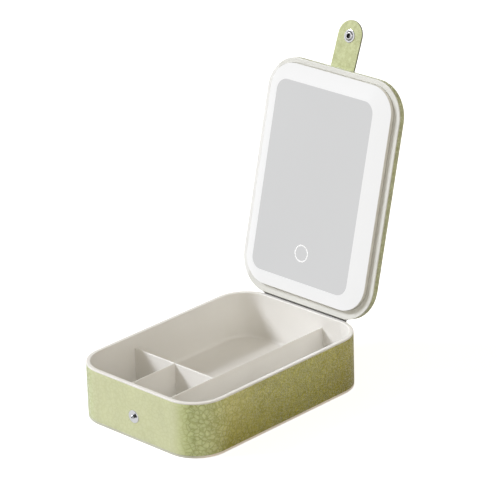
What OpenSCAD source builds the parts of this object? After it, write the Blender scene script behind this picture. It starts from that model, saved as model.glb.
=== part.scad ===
// Portable vanity box with a lighted mirror in its lid.
// The tub stands on the surface z = 0, its snap closure faces -Y, its hinge is at +Y.
// Lid and strap are drawn as if closed and flat, and open_lid() swings them to the open pose.

/* [Box] */
// Width of the box over its leather, mm
box_w = 155; // [145:1:165]
// Length of the box over its leather, mm
box_l = 220; // [205:1:235]
// Height of the rim above the surface the box stands on, mm
box_h = 52.5; // [48:0.5:60]
// Corner radius of the box in plan, mm
box_r = 32; // [29:0.5:35]

/* [Box walls] */
// Thickness of the leather on the box and on the lid, mm
leather_t = 0.9; // [0.7:0.1:1.1]
// Thickness of the stiff wall behind the leather, mm
frame_t = 1.4; // [1.3:0.1:1.8]
// Thickness of the tray's own wall, mm
tray_t = 1.5; // [1.3:0.1:1.8]
// Clearance round a piece that drops into another, mm
fit_gap = 0.2; // [0.1:0.05:0.3]
// Height of the tray's rolled rim, mm
rim_h = 1.6; // [1.4:0.1:2]
// Rounding of the rim's edges, mm
rim_round = 0.8; // [0.5:0.1:0.9]

/* [Bottom] */
// Thickness of the bottom plate and height of its visible edge, mm
plate_t = 2; // [1.8:0.1:2.6]
// Thickness of the anti-slip pad, mm
pad_t = 0.8; // [0.6:0.1:1]
// How far the pad stands out of the bottom plate, mm
pad_proud = 0.4; // [0.2:0.1:0.5]
// Distance from the box's outline to the pad, mm
pad_inset = 6; // [4:0.5:10]
// Height of the screw bosses under the tray, mm
boss_h = 3.6; // [3:0.2:5]
// Radius of those bosses, mm
boss_r = 3.5; // [3:0.25:4.5]
// Distance of the outer screws from the box's sides, mm
screw_side = 20; // [18:1:26]
// Distance of the end screws from the box's ends, mm
screw_end = 22; // [20:1:30]

/* [Tray] */
// Thickness of the tray's floor, mm
floor_t = 1.6; // [1.2:0.1:2.2]
// Thickness of the dividers, mm
divider_t = 1.6; // [1.2:0.1:2]
// Clearance between the dividers and the mirror of the closed lid, mm
divider_gap = 0.8; // [0.5:0.1:4]
// Place of the long divider beside the brush slot, from the middle, mm
long_divider_x = 24.2; // [18:0.2:32]
// Place of the cross divider, from the middle, mm
cross_divider_y = -35; // [-45:1:-20]
// Place of the short divider between the two front compartments, from the middle, mm
short_divider_x = -23.3; // [-32:0.2:-16]

/* [Lid] */
// How far the lid stands over each side of the box, mm
lid_over = 2; // [0.5:0.5:3]
// Thickness of the lid over its leather, mm
lid_t = 7.7; // [7.7:0.1:10]
// Gap between the rim and the closed lid, mm
lid_gap = 0.5; // [0.3:0.1:1]
// Corner radius of the lid in plan, mm
lid_r = 33; // [31:0.5:36]
// Rounding of the lid's top edge, mm
lid_edge_r = 2.2; // [1.6:0.1:2.4]
// How far the lid opens, degrees
open_angle = 104; // [100:1:104]
// Thickness of the lid's stiff shell, mm
shell_t = 1.6; // [1.4:0.1:2]
// Thickness of the foam under the lid's leather, mm
padding_t = 1; // [0.6:0.1:1.2]
// Thickness of the lid's inner frame, mm
bezel_t = 1.5; // [1.2:0.1:1.8]
// Height of the inner frame's lip, which covers the leather's edge, mm
lip_t = 0.9; // [0.7:0.1:1.1]

/* [Light panel] */
// Clearance between the panel's sides and the tray of the closed box, mm
panel_side_gap = 1.5; // [1.3:0.1:6]
// Clearance between the panel's front end and the tray of the closed box, mm
panel_front_gap = 0.8; // [0.7:0.1:4]
// Clearance between the panel's rear end and the tray of the closed box, mm
panel_rear_gap = 4.6; // [4:0.2:9]
// Corner radius of the panel in plan, mm
panel_r = 25.5; // [24:0.25:27]
// Height of the panel's side wall out of the lid's inner frame, mm
panel_side_h = 4.3; // [4.3:0.1:5]
// Rise of the sloped light band from its outer edge to the mirror, mm
band_rise = 7.8; // [7:0.1:8.6]
// Width of the light band in plan, mm
band_w = 14.3; // [12:0.1:15]
// How far the band's face bulges out of a straight slope, mm
band_bulge = 0.5; // [0.2:0.1:0.8]
// Height of the band's outer edge, mm
band_edge = 0.8; // [0.6:0.1:0.9]
// Thickness of the light band's wall, mm
band_t = 1.6; // [1.3:0.1:1.8]
// Thickness of the panel housing's walls, mm
housing_t = 1.6; // [1.4:0.1:2]
// Width of the housing's flange behind the lid's inner frame, mm
flange_w = 3; // [2:0.25:3.5]
// Thickness of the mirror glass, mm
glass_t = 1.8; // [1.5:0.1:2]
// Thickness of the adhesive tape behind the mirror, mm
tape_t = 0.3; // [0.2:0.05:0.4]
// Width of the ledge that carries the mirror, mm
ledge_w = 3; // [2:0.25:4]

/* [Touch control] */
// Outer diameter of the touch ring, mm
touch_d = 16; // [12:0.5:20]
// Width of the touch ring's line, mm
touch_line = 1.2; // [1:0.1:2]
// Distance from the mirror's hinge end to the ring's centre, mm
touch_up = 26.5; // [22:0.5:30]
// Depth of the ring in the glass, mm
touch_depth = 0.3; // [0.2:0.05:0.5]
// Diameter of the sensing disc behind the glass, mm
electrode_d = 13; // [8:0.5:14]
// Width of the conductive foam block behind the disc, mm
contact_w = 8; // [5:0.5:9]

/* [Electronics] */
// Width of the light strips, mm
strip_w = 7; // [5:0.5:8]
// Thickness of the light strips, mm
strip_t = 1; // [0.8:0.1:1.2]
// Size of one light-emitting package, mm
led_w = 2.8; // [2:0.1:3.5]
// Height of one light-emitting package, mm
led_h = 0.8; // [0.6:0.1:1]
// Packages on each long strip
leds_long = 9; // [5:1:12]
// Packages on each short strip
leds_short = 6; // [3:1:8]
// Length of the control board across the lid, mm
board_w = 78; // [76:1:82]
// Width of the control board along the lid, mm
board_l = 30; // [28:0.5:32]
// Thickness of the control board, mm
board_t = 1; // [0.8:0.1:1.2]
// Width of the larger chips, mm
chip_w = 6; // [4:0.5:8]
// Height of the larger chips, mm
chip_h = 1.4; // [0.8:0.1:2]
// Space between the chips, mm
chip_space = 6; // [4:0.5:8]
// Width of the charging socket's mouth, mm
port_w = 8.6; // [8.4:0.1:9]
// Height of the charging socket's mouth, mm
port_h = 2.7; // [2.5:0.1:2.8]
// Depth of the charging socket, mm
port_depth = 7.3; // [6:0.1:8]
// Width of the battery across the lid, mm
battery_w = 50; // [40:1:60]
// Length of the battery along the lid, mm
battery_l = 60; // [45:1:66]
// Thickness of the battery, mm
battery_t = 6; // [4:0.25:7]
// Thickness of the battery's foam tape, mm
battery_tape_t = 0.5; // [0.4:0.1:0.8]
// Radius of the leads, mm
lead_r = 0.5; // [0.4:0.05:0.6]
// Distance between the battery's two leads, mm
lead_space = 4; // [2:0.5:6]

/* [Hinge] */
// Length of the hinge, mm
hinge_len = 101; // [80:1:106]
// Number of knuckles, the ends on the box
knuckles = 7; // [5:2:9]
// Outer radius of the barrel, mm
barrel_r = 1.6; // [1.5:0.05:1.7]
// Radius of the hinge pin, mm
pin_r = 0.8; // [0.7:0.05:0.85]
// Clearance between pin and barrel, mm
pin_clear = 0.05; // [0.03:0.01:0.08]
// Clearance between neighbouring knuckles, mm
knuckle_gap = 0.3; // [0.2:0.05:0.5]
// Thickness of the hinge leaves, mm
leaf_t = 0.8; // [0.7:0.05:0.9]
// Height of the leaf on the back of the box, mm
leaf_h = 15; // [12:0.5:22]
// Reach of the leaf inside the lid, mm
lid_leaf = 11; // [10:0.5:14]
// Thickness of the lid's inner frame under the barrel, mm
bezel_skin = 0.6; // [0.5:0.05:0.7]
// Clearance round the barrel, mm
barrel_gap = 0.2; // [0.2:0.05:0.3]
// Gap between the open lid and the stop flange that it leans on, mm
stop_gap = 0.2; // [0.15:0.05:0.4]
// Reach of the stop flange behind the hinge leaf, mm
stop_w = 2.8; // [2.2:0.1:3.4]
// Number of screws in the hinge's lower leaf
hinge_screws_n = 5; // [3:1:7]

/* [Strap] */
// Width of the strap, mm
strap_w = 28; // [24:0.5:32]
// Length of the strap beyond the lid's edge, mm
strap_len = 45; // [44:0.5:50]
// Thickness of the strap's outer leather, mm
strap_t = 1; // [0.7:0.05:1.1]
// Thickness of the strap's lining, mm
lining_t = 0.8; // [0.5:0.05:0.9]
// Distance from the lid's edge to the snap in the strap, mm
snap_out = 30.5; // [30:0.5:33]
// How far the strap's bend lies inside the lid's edge, mm
bend_in = 1.6; // [0.2:0.1:1.8]
// How far the strap leans back from the open lid, degrees
strap_lean = 7; // [0:0.5:9]

/* [Snap] */
// Diameter of the stud's flange and of the socket, mm
snap_d = 12; // [11:0.5:13]
// Thickness of the stud's flange, mm
stud_flange = 0.6; // [0.5:0.1:0.8]
// Radius of the stud's head, mm
stud_r = 1.8; // [1.7:0.1:1.9]
// Height of the stud's head over its flange, mm
stud_h = 2.2; // [1.9:0.1:2.3]
// Height of the socket on the strap, mm
socket_h = 1.9; // [1.6:0.1:2.2]
// Thickness of the socket's flange, mm
socket_flange = 0.7; // [0.5:0.1:0.8]
// Radius of the socket's bore, mm
socket_r = 2.2; // [2.1:0.1:2.3]
// Wall of the socket's collar, mm
collar_t = 1.3; // [1:0.1:1.6]
// Clearance between the closed socket and the stud's flange, mm
snap_gap = 0.3; // [0.3:0.05:0.5]
// Wall of the eyelet through the strap, mm
eyelet_t = 0.5; // [0.4:0.05:0.6]
// Height of the cap outside the strap, mm
cap_h = 1.1; // [0.9:0.1:1.4]

/* [Screws] */
// Shank radius of the screws, mm
shank_r = 1.1; // [1:0.05:1.25]
// Clearance between a shank and the hole that it is driven into, mm
shank_gap = 0.05; // [0.03:0.01:0.08]
// Head radius of the screws, mm
head_r = 2.2; // [2:0.1:2.6]
// Head height of the screws, mm
head_h = 0.7; // [0.5:0.05:0.8]
// Head height of the rivets, mm
rivet_h = 0.5; // [0.4:0.05:0.6]

/* [Hidden] */

$fn = 64;
eps = 0.5;              // how far a cutter runs past the face that it cuts

green = [0.78, 0.79, 0.63];
white = [0.93, 0.92, 0.90];
glow = [0.99, 0.98, 0.96];
metal = [0.78, 0.78, 0.80];
dark = [0.25, 0.25, 0.23];

// Base, from the bottom up
plate_z = pad_proud;
frame_z = plate_z + plate_t;
rim_z = box_h - rim_h;
frame_w = box_w - 2 * leather_t;
frame_l = box_l - 2 * leather_t;
frame_r = box_r - leather_t;
tray_w = frame_w - 2 * (frame_t + fit_gap);
tray_l = frame_l - 2 * (frame_t + fit_gap);
tray_r = frame_r - frame_t - fit_gap;
room_w = tray_w - 2 * tray_t;
room_l = tray_l - 2 * tray_t;
room_r = tray_r - tray_t;
tray_z = frame_z + boss_h;
floor_z = tray_z + floor_t;
screw_x = box_w / 2 - screw_side;
screw_y = box_l / 2 - screw_end;
bottom_spots = [for (x = [-1, 1], y = [-1, 0, 1]) [x * screw_x, y * screw_y]];

// Lid, in its closed place
lid_w = box_w + 2 * lid_over;
lid_l = box_l;
lid_z = box_h + lid_gap;
lid_top = lid_z + lid_t;
shell_w = lid_w - 2 * leather_t - fit_gap;
shell_l = lid_l - 2 * leather_t - fit_gap;
shell_r = lid_r - leather_t - fit_gap / 2;
shell_top = lid_top - leather_t - padding_t;
shell_under = shell_top - shell_t;
bezel_back = lid_z + bezel_t;

// Light panel in the closed lid: z falls towards the mirror
panel_w = room_w - 2 * panel_side_gap;
panel_y0 = -room_l / 2 + panel_front_gap;
panel_y1 = room_l / 2 - panel_rear_gap;
panel_l = panel_y1 - panel_y0;
panel_y = (panel_y0 + panel_y1) / 2;
band_z = lid_z - panel_side_h;
mirror_z = band_z - band_rise;
wall_z = band_z + band_edge;
seat_z = mirror_z + glass_t + tape_t;
housing_back = bezel_back + 1;
floor_of_housing = housing_back - 1.2;
hole_r = panel_r - band_w;
glass_w = panel_w - 2 * (band_w + fit_gap / 2);
glass_l = panel_l - 2 * (band_w + fit_gap / 2);
glass_r = hole_r - fit_gap / 2;
divider_z = mirror_z - divider_gap;
touch_y = panel_y + glass_l / 2 - touch_up;

// Electronics, on the floor of the housing
inner_w = panel_w - 2 * housing_t;
inner_l = panel_l - 2 * housing_t;
strip_z = floor_of_housing - strip_t;
strip_x = inner_w / 2 - 2 - strip_w / 2;
strip_y0 = panel_y0 + panel_r;
board_y = touch_y + 7;
strip_y1 = board_y - board_l / 2 - 2;
short_strip = panel_w - 2 * panel_r;
board_z = floor_of_housing - board_t - 0.3;
board_x0 = -inner_w / 2 + 1;
port_z = board_z - 1.6;
battery_y = strip_y1 - battery_l / 2 - 12;
battery_z = floor_of_housing - battery_tape_t - battery_t;
panel_screw_y = [panel_y0 + 32, strip_y1 - 2];
panel_screw_x = strip_x - 14;
lead_x = board_x0 + board_w - chip_w - lead_space;

// Hinge: the axis lies in the rear edge of the lid, over the leaf on the back of the box
hinge_y = box_l / 2 + leaf_t - barrel_r;
hinge_z = lid_z + bezel_skin + barrel_gap + barrel_r;
channel_y = hinge_y - barrel_r - barrel_gap;
channel_top = hinge_z + barrel_r + 3 * barrel_gap;
leaf_top = hinge_z - barrel_r - barrel_gap;
lid_leaf_z = hinge_z + barrel_r - leaf_t;
knuckle_l = (hinge_len - (knuckles - 1) * knuckle_gap) / knuckles;
knuckle_pitch = knuckle_l + knuckle_gap;
corner_y = lid_l / 2 - lid_edge_r - hinge_y;
corner_z = lid_top - lid_edge_r - hinge_z;
open_corner_z = hinge_z - corner_y * sin(open_angle) + corner_z * cos(open_angle);
stop_z = open_corner_z - lid_edge_r - stop_gap;
screw_z = box_h - leaf_h / 2 - 1;
lid_rivet_y = channel_y - lid_leaf / 2 + 1;

// Strap: it bends about an axis just inside the lid's edge
bend_y = -(lid_l / 2 - bend_in);
strap_all_t = strap_t + lining_t;
socket_face = box_l / 2 + stud_flange + snap_gap;
bend_reach = socket_face + socket_h + bend_y;
bend_z = lid_top - strap_all_t - bend_reach;
snap_s = snap_out + bend_in;
snap_y = bend_y - snap_s;
stud_z = bend_z - snap_s;
strap_root = lid_l / 2 + 1.4;
strap_tip = lid_l / 2 + strap_len;
strap_tip_r = strap_w / 2;
lining_z = lid_top - strap_all_t;

// Rounded rectangle
module rrect(w, l, r) {
    square([w - 2 * r, l], center = true);
    square([w, l - 2 * r], center = true);
    for (x = [-1, 1], y = [-1, 1])
        translate([x * (w / 2 - r), y * (l / 2 - r)])
            circle(r);
}

// Rounded-rectangle slab from z0 to z1
module slab(w, l, r, z0, z1) {
    translate([0, 0, z0])
        linear_extrude(z1 - z0)
            rrect(w, l, r);
}

// Runs a profile round a rounded rectangle: the profile's x is the distance from a corner's centre
module sweep(w, l, r) {
    for (k = [0:3]) {
        a = k % 2 == 0 ? w : l;
        b = k % 2 == 0 ? l : w;
        rotate([0, 0, 90 * k])
            translate([a / 2 - r, b / 2 - r, 0]) {
                rotate([90, 0, 0])
                    linear_extrude(b - 2 * r)
                        children();
                rotate_extrude(angle = 90)
                    children();
            }
    }
}

// Slab whose top edge is rounded
module pillow_slab(w, l, r, z0, z1, edge) {
    slab(w, l, r, z0, z1 - edge);
    slab(w - 2 * edge, l - 2 * edge, r - edge, z0, z1);
    sweep(w, l, r)
        translate([r - edge, z1 - edge])
            circle(edge);
}

module rod(r, z0, z1) {
    translate([0, 0, z0])
        cylinder(r = r, h = z1 - z0);
}

// Places a piece at the box's front, its own +Z pointing out to -Y
module at_front(y, z) {
    translate([0, y, z])
        rotate([90, 0, 0])
            children();
}

// Swings a piece of the closed lid to the open pose
module open_lid() {
    translate([0, hinge_y, hinge_z])
        rotate([-open_angle, 0, 0])
            translate([0, -hinge_y, -hinge_z])
                children();
}

// Leans the strap back about its bend
module lean_strap() {
    translate([0, bend_y, bend_z])
        rotate([-strap_lean, 0, 0])
            translate([0, -bend_y, -bend_z])
                children();
}

// Pan-head screw along +Z: head below z0, shank up to z1
module screw(z0, z1) {
    rod(head_r, z0 - head_h, z0);
    rod(shank_r, z0, z1);
}

// Rivet along +Z: flat head below z0, shank up to z1
module rivet(z0, z1) {
    rod(head_r, z0 - rivet_h, z0);
    rod(shank_r, z0, z1);
}

module bottom_pad() {
    color(dark)
        slab(box_w - 2 * pad_inset, box_l - 2 * pad_inset, box_r - pad_inset, 0, pad_t);
}

module bottom_plate() {
    color(white)
        difference() {
            slab(box_w, box_l, box_r, plate_z, frame_z);
            slab(box_w - 2 * (pad_inset - fit_gap), box_l - 2 * (pad_inset - fit_gap),
                 box_r - pad_inset + fit_gap, plate_z - eps, pad_t);
            for (p = bottom_spots)
                translate(p) {
                    rod(shank_r + 0.3, 0, frame_z + eps);
                    rod(head_r + fit_gap, 0, pad_t + head_h);
                }
        }
}

module bottom_screws() {
    color(metal)
        for (p = bottom_spots)
            translate(p)
                screw(pad_t + head_h, tray_z - 0.4);
}

module base_frame() {
    color(white)
        difference() {
            slab(frame_w, frame_l, frame_r, frame_z, rim_z);
            slab(frame_w - 2 * frame_t, frame_l - 2 * frame_t, frame_r - frame_t, frame_z - eps, rim_z + eps);
            at_front(0, stud_z) {
                rod(shank_r + shank_gap, 0, box_l);
                rod(head_r + 2 * fit_gap, 0, frame_l / 2 - frame_t + rivet_h);
            }
            for (x = hinge_screw_x())
                translate([x, 0, screw_z])
                    rotate([-90, 0, 0])
                        rod(shank_r + shank_gap, 0, box_l);
        }
}

module base_leather() {
    color(green)
        difference() {
            slab(box_w, box_l, box_r, frame_z, rim_z);
            slab(frame_w, frame_l, frame_r, frame_z - eps, rim_z + eps);
            at_front(0, stud_z)
                rod(shank_r + shank_gap, 0, box_l);
            for (x = hinge_screw_x())
                translate([x, 0, screw_z])
                    rotate([-90, 0, 0])
                        rod(shank_r + shank_gap, 0, box_l);
        }
}

module inner_tray() {
    rim_in = box_r - (box_w - room_w) / 2;
    color(white) {
        difference() {
            slab(tray_w, tray_l, tray_r, tray_z, box_h - rim_round);
            slab(room_w, room_l, room_r, floor_z, box_h);
        }
        sweep(box_w, box_l, box_r) {
            translate([rim_in, rim_z])
                square([box_r - rim_in, rim_h - rim_round]);
            translate([rim_in + rim_round, rim_z])
                square([box_r - rim_in - 2 * rim_round, rim_h]);
            for (x = [rim_in + rim_round, box_r - rim_round])
                translate([x, box_h - rim_round])
                    circle(rim_round);
        }
        intersection() {
            slab(tray_w - tray_t, tray_l - tray_t, tray_r - tray_t / 2, floor_z - floor_t / 2, divider_z);
            union() {
                translate([long_divider_x - divider_t / 2, -box_l / 2, tray_z])
                    cube([divider_t, box_l, box_h]);
                translate([-box_w / 2, cross_divider_y - divider_t / 2, tray_z])
                    cube([box_w / 2 + long_divider_x, divider_t, box_h]);
                translate([short_divider_x - divider_t / 2, -box_l / 2, tray_z])
                    cube([divider_t, box_l / 2 + cross_divider_y, box_h]);
            }
        }
        for (p = bottom_spots)
            translate(p)
                difference() {
                    rod(boss_r, frame_z, tray_z + floor_t / 2);
                    rod(shank_r + shank_gap, frame_z - eps, tray_z);
                }
    }
}

module snap_stud() {
    color(metal)
        at_front(-box_l / 2, stud_z)
            difference() {
                union() {
                    rod(snap_d / 2, 0, stud_flange);
                    rod(stud_r - 0.25, 0, stud_flange + stud_h / 2);
                    rod(stud_r, stud_flange + stud_h / 2, stud_flange + stud_h);
                }
                rod(shank_r + shank_gap, -eps, stud_flange + stud_h / 2);
            }
}

module stud_rivet() {
    color(metal)
        at_front(-frame_l / 2 + frame_t - rivet_h, stud_z)
            rivet(0, frame_t - rivet_h + leather_t + stud_flange);
}

function hinge_screw_x() = [for (i = [0:hinge_screws_n - 1])
    (i - (hinge_screws_n - 1) / 2) * (hinge_len - 12) / (hinge_screws_n - 1)];

// One hinge's set of knuckles: first = 0 for the box, 1 for the lid
module barrel(first) {
    for (i = [first:2:knuckles - 1])
        translate([-hinge_len / 2 + i * knuckle_pitch, hinge_y, hinge_z])
            rotate([0, 90, 0])
                cylinder(r = barrel_r, h = knuckle_l);
}

module pin_bore() {
    translate([-hinge_len / 2 - eps, hinge_y, hinge_z])
        rotate([0, 90, 0])
            cylinder(r = pin_r + pin_clear, h = hinge_len + 2 * eps);
}

module hinge_base_leaf() {
    color(dark)
        difference() {
            union() {
                translate([-hinge_len / 2, box_l / 2, box_h - leaf_h])
                    cube([hinge_len, leaf_t, leaf_top - box_h + leaf_h]);
                translate([-hinge_len / 2, box_l / 2, stop_z - leaf_t])
                    cube([hinge_len, leaf_t + stop_w, leaf_t]);
                for (i = [0:2:knuckles - 1])
                    translate([-hinge_len / 2 + i * knuckle_pitch, box_l / 2, leaf_top - eps])
                        cube([knuckle_l, leaf_t, hinge_z - leaf_top + eps]);
                barrel(0);
            }
            pin_bore();
            for (x = hinge_screw_x())
                translate([x, 0, screw_z])
                    rotate([-90, 0, 0])
                        rod(shank_r + shank_gap, 0, box_l);
        }
}

module hinge_lid_leaf() {
    color(dark)
        difference() {
            union() {
                translate([-hinge_len / 2, channel_y - lid_leaf, lid_leaf_z])
                    cube([hinge_len, lid_leaf, leaf_t]);
                for (i = [1:2:knuckles - 1])
                    translate([-hinge_len / 2 + i * knuckle_pitch, channel_y - eps, lid_leaf_z])
                        cube([knuckle_l, hinge_y - channel_y + eps, leaf_t]);
                barrel(1);
            }
            pin_bore();
            for (x = hinge_screw_x())
                translate([x, lid_rivet_y, 0])
                    rod(shank_r + shank_gap, lid_z, lid_top);
        }
}

module hinge_pin() {
    color(metal)
        translate([-hinge_len / 2, hinge_y, hinge_z])
            rotate([0, 90, 0])
                cylinder(r = pin_r, h = hinge_len);
}

module hinge_screws() {
    color(dark)
        for (x = hinge_screw_x())
            translate([x, box_l / 2 + leaf_t, screw_z])
                rotate([90, 0, 0])
                    screw(0, leaf_t + leather_t + frame_t);
}

module hinge_rivets() {
    color(metal)
        for (x = hinge_screw_x())
            translate([x, lid_rivet_y, 0])
                rivet(lid_leaf_z, shell_top - 0.4);
}

// Space that the hinge barrel needs in the lid's rear edge
module hinge_channel(z0) {
    translate([-hinge_len / 2 - 0.5, channel_y, z0])
        cube([hinge_len + 1, lid_l, channel_top - z0]);
}

module lid_shell() {
    color(white)
        difference() {
            union() {
                slab(shell_w, shell_l, shell_r, shell_under, shell_top);
                difference() {
                    slab(shell_w, shell_l, shell_r, bezel_back, shell_under + shell_t / 2);
                    slab(shell_w - 2 * shell_t, shell_l - 2 * shell_t, shell_r - shell_t,
                         bezel_back - eps, shell_under);
                }
                for (x = [-1, 1], y = panel_screw_y)
                    translate([x * panel_screw_x, y])
                        rod(boss_r, housing_back, shell_under + shell_t / 2);
                translate([-hinge_len / 2, channel_y - lid_leaf, lid_leaf_z + leaf_t])
                    cube([hinge_len, lid_leaf, shell_top - lid_leaf_z - leaf_t - 0.3]);
            }
            hinge_channel(bezel_back - eps);
            for (x = [-1, 1], y = panel_screw_y)
                translate([x * panel_screw_x, y])
                    rod(shank_r + shank_gap, lid_z, shell_top - 0.3);
            for (x = hinge_screw_x())
                translate([x, lid_rivet_y, 0])
                    rod(shank_r + shank_gap, lid_z, shell_top - 0.3);
        }
}

module lid_padding() {
    inset = 2 * (lid_edge_r - leather_t);
    color([0.85, 0.85, 0.8])
        slab(shell_w - inset, shell_l - inset, shell_r - inset / 2, shell_top, lid_top - leather_t);
}

module lid_leather() {
    color(green)
        difference() {
            union() {
                pillow_slab(lid_w, lid_l, lid_r, lid_z + lip_t, lid_top, lid_edge_r);
                translate([-strap_w / 2, -lid_l / 2 - fit_gap, lining_z])
                    cube([strap_w, lid_edge_r + 2 * fit_gap + 0.6, strap_all_t]);
            }
            pillow_slab(lid_w - 2 * leather_t, lid_l - 2 * leather_t, lid_r - leather_t,
                        lid_z - eps, lid_top - leather_t, lid_edge_r - leather_t);
            hinge_channel(lid_z - eps);
        }
}

module lid_bezel() {
    ext = 0.3;
    color([0.89, 0.89, 0.86])
        difference() {
            union() {
                slab(shell_w, shell_l, shell_r, lid_z, bezel_back);
                slab(lid_w, lid_l, lid_r, lid_z, lid_z + lip_t);
            }
            hinge_channel(lid_z + bezel_skin);
            translate([-hinge_len / 2 - 0.5, box_l / 2 - ext, lid_z - eps])
                cube([hinge_len + 1, lid_l, lid_t]);
            translate([0, panel_y, 0])
                slab(panel_w + 2 * fit_gap, panel_l + 2 * fit_gap, panel_r + fit_gap, lid_z - eps, lid_top);
        }
}

module light_housing() {
    color([0.86, 0.86, 0.84])
        difference() {
            translate([0, panel_y, 0])
                difference() {
                    union() {
                        slab(panel_w, panel_l, panel_r, wall_z, housing_back);
                        intersection() {
                            slab(panel_w + 2 * flange_w, panel_l + 2 * flange_w, panel_r + flange_w,
                                 bezel_back, housing_back);
                            translate([0, -panel_y, 0])
                                slab(shell_w - 2 * shell_t - 2 * fit_gap, shell_l - 2 * shell_t - 2 * fit_gap,
                                     shell_r - shell_t - fit_gap, bezel_back, housing_back);
                        }
                    }
                    slab(inner_w, inner_l, panel_r - housing_t, wall_z - eps, floor_of_housing);
                }
            translate([-panel_w / 2, board_y, port_z])
                rotate([0, 90, 0])
                    translate([0, 0, -eps])
                        linear_extrude(housing_t + 2 * eps)
                            rrect(port_h, port_w, port_h / 2 - 0.1);
            for (x = [-1, 1], y = panel_screw_y)
                translate([x * panel_screw_x, y])
                    rod(shank_r + 0.3, lid_z - 1, lid_top);
        }
}

// Bulge of the band's face at the share t of its width, as an arc of a circle
function bulge(t) = 4 * band_bulge * t * (1 - t);

module diffuser() {
    steps = 8;
    outer = [for (i = [0:steps]) let (t = i / steps)
        [panel_r - band_w * t, band_z - band_rise * t - bulge(t)]];
    under = [for (i = [steps:-1:0]) let (t = i / steps)
        [panel_r - band_w * t, band_z - band_rise * t - bulge(t) + band_t * 1.14]];
    inset = housing_t + 0.1;
    inner_under = [for (p = under) if (p[0] < panel_r - inset - 0.2 && p[0] > hole_r + band_t) p];
    under_at_wall = band_z - band_rise * inset / band_w - bulge(inset / band_w) + band_t * 1.14;
    profile = concat(
        [[panel_r, wall_z]], outer,
        [[hole_r, seat_z], [hole_r - ledge_w, seat_z], [hole_r - ledge_w, seat_z + band_t],
         [hole_r + band_t, seat_z + band_t]],
        inner_under,
        [[panel_r - inset, under_at_wall], [panel_r - inset, wall_z]]);
    color(glow)
        translate([0, panel_y, 0])
            sweep(panel_w, panel_l, panel_r)
                polygon(profile);
}

module mirror_glass() {
    color([0.8, 0.83, 0.85])
        difference() {
            translate([0, panel_y, 0])
                slab(glass_w, glass_l, glass_r, mirror_z, mirror_z + glass_t);
            translate([0, touch_y, 0])
                difference() {
                    rod(touch_d / 2, mirror_z - eps, mirror_z + touch_depth);
                    rod(touch_d / 2 - touch_line, mirror_z - 2 * eps, mirror_z + touch_depth + eps);
                }
        }
}

module mirror_tape() {
    color(dark)
        translate([0, panel_y, 0])
            difference() {
                slab(glass_w - 1, glass_l - 1, glass_r - 0.5, mirror_z + glass_t, seat_z);
                slab(glass_w - 2 * ledge_w + 0.5, glass_l - 2 * ledge_w + 0.5, glass_r - ledge_w + 0.25,
                     mirror_z, seat_z + eps);
            }
}

module touch_ring() {
    color(glow)
        translate([0, touch_y, 0])
            difference() {
                rod(touch_d / 2, mirror_z, mirror_z + touch_depth);
                rod(touch_d / 2 - touch_line, mirror_z - eps, mirror_z + touch_depth + eps);
            }
}

module touch_electrode() {
    color([0.8, 0.5, 0.3])
        translate([0, touch_y, 0])
            rod(electrode_d / 2, mirror_z + glass_t, mirror_z + glass_t + tape_t);
}

module touch_contact() {
    color([0.6, 0.6, 0.6])
        translate([-contact_w / 2, touch_y - contact_w / 2, seat_z])
            cube([contact_w, contact_w, board_z - seat_z]);
}

// Far ends of the left and right strips: the left one stops at the board
strip_ends = [strip_y1, panel_y1 - panel_r];
end_strip_y = [panel_y0 + housing_t + 2 + strip_w / 2, panel_y1 - housing_t - 2 - strip_w / 2];

module light_strips() {
    color([0.95, 0.95, 0.95]) {
        for (k = [0, 1])
            translate([(2 * k - 1) * strip_x - strip_w / 2, strip_y0, strip_z])
                cube([strip_w, strip_ends[k] - strip_y0, strip_t]);
        for (y = end_strip_y)
            translate([-short_strip / 2, y - strip_w / 2, strip_z])
                cube([short_strip, strip_w, strip_t]);
    }
}

module chip(x, y) {
    translate([x - led_w / 2, y - led_w / 2, strip_z - led_h])
        cube([led_w, led_w, led_h]);
}

module light_chips() {
    color([1, 0.95, 0.6]) {
        for (k = [0, 1], i = [0:leds_long - 1])
            chip((2 * k - 1) * strip_x, strip_y0 + (strip_ends[k] - strip_y0) * (i + 0.5) / leds_long);
        for (y = end_strip_y, i = [0:leds_short - 1])
            chip(short_strip * ((i + 0.5) / leds_short - 0.5), y);
    }
}

module control_board() {
    foot = floor_of_housing - board_z - board_t;
    color([0.15, 0.4, 0.25]) {
        translate([board_x0, board_y - board_l / 2, board_z])
            cube([board_w, board_l, board_t]);
        for (x = [board_x0 + 6, board_x0 + board_w - 6], y = [-1, 1])
            translate([x, board_y + y * (board_l / 2 - 4), 0])
                rod(2, board_z + board_t / 2, board_z + board_t + foot);
    }
}

module board_chips() {
    x0 = board_x0 + port_depth + chip_space;
    color([0.15, 0.15, 0.15]) {
        for (i = [0:2])
            translate([x0 + i * (chip_w + chip_space), board_y - chip_w / 2, board_z - chip_h])
                cube([chip_w, chip_w, chip_h]);
        for (i = [0:5])
            translate([x0 + i * chip_space, board_y - board_l / 2 + chip_w / 2, board_z - chip_h / 2])
                cube([chip_w / 3, chip_w / 6, chip_h / 2]);
    }
}

module charge_socket() {
    depth0 = -panel_w / 2 + housing_t + 0.1;
    color(metal)
        translate([depth0, board_y, board_z])
            rotate([0, 90, 0])
                translate([port_h / 2 + 0.25, 0, 0])
                    difference() {
                        linear_extrude(port_depth)
                            rrect(port_h + 0.5, port_w + 0.5, port_h / 2);
                        translate([0, 0, -eps])
                            linear_extrude(port_depth - 1 + eps)
                                rrect(port_h, port_w, port_h / 2 - 0.1);
                    }
}

module battery() {
    color([0.7, 0.72, 0.75])
        slab_at(0, battery_y, battery_w, battery_l, 1.5, battery_z, battery_z + battery_t);
}

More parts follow.
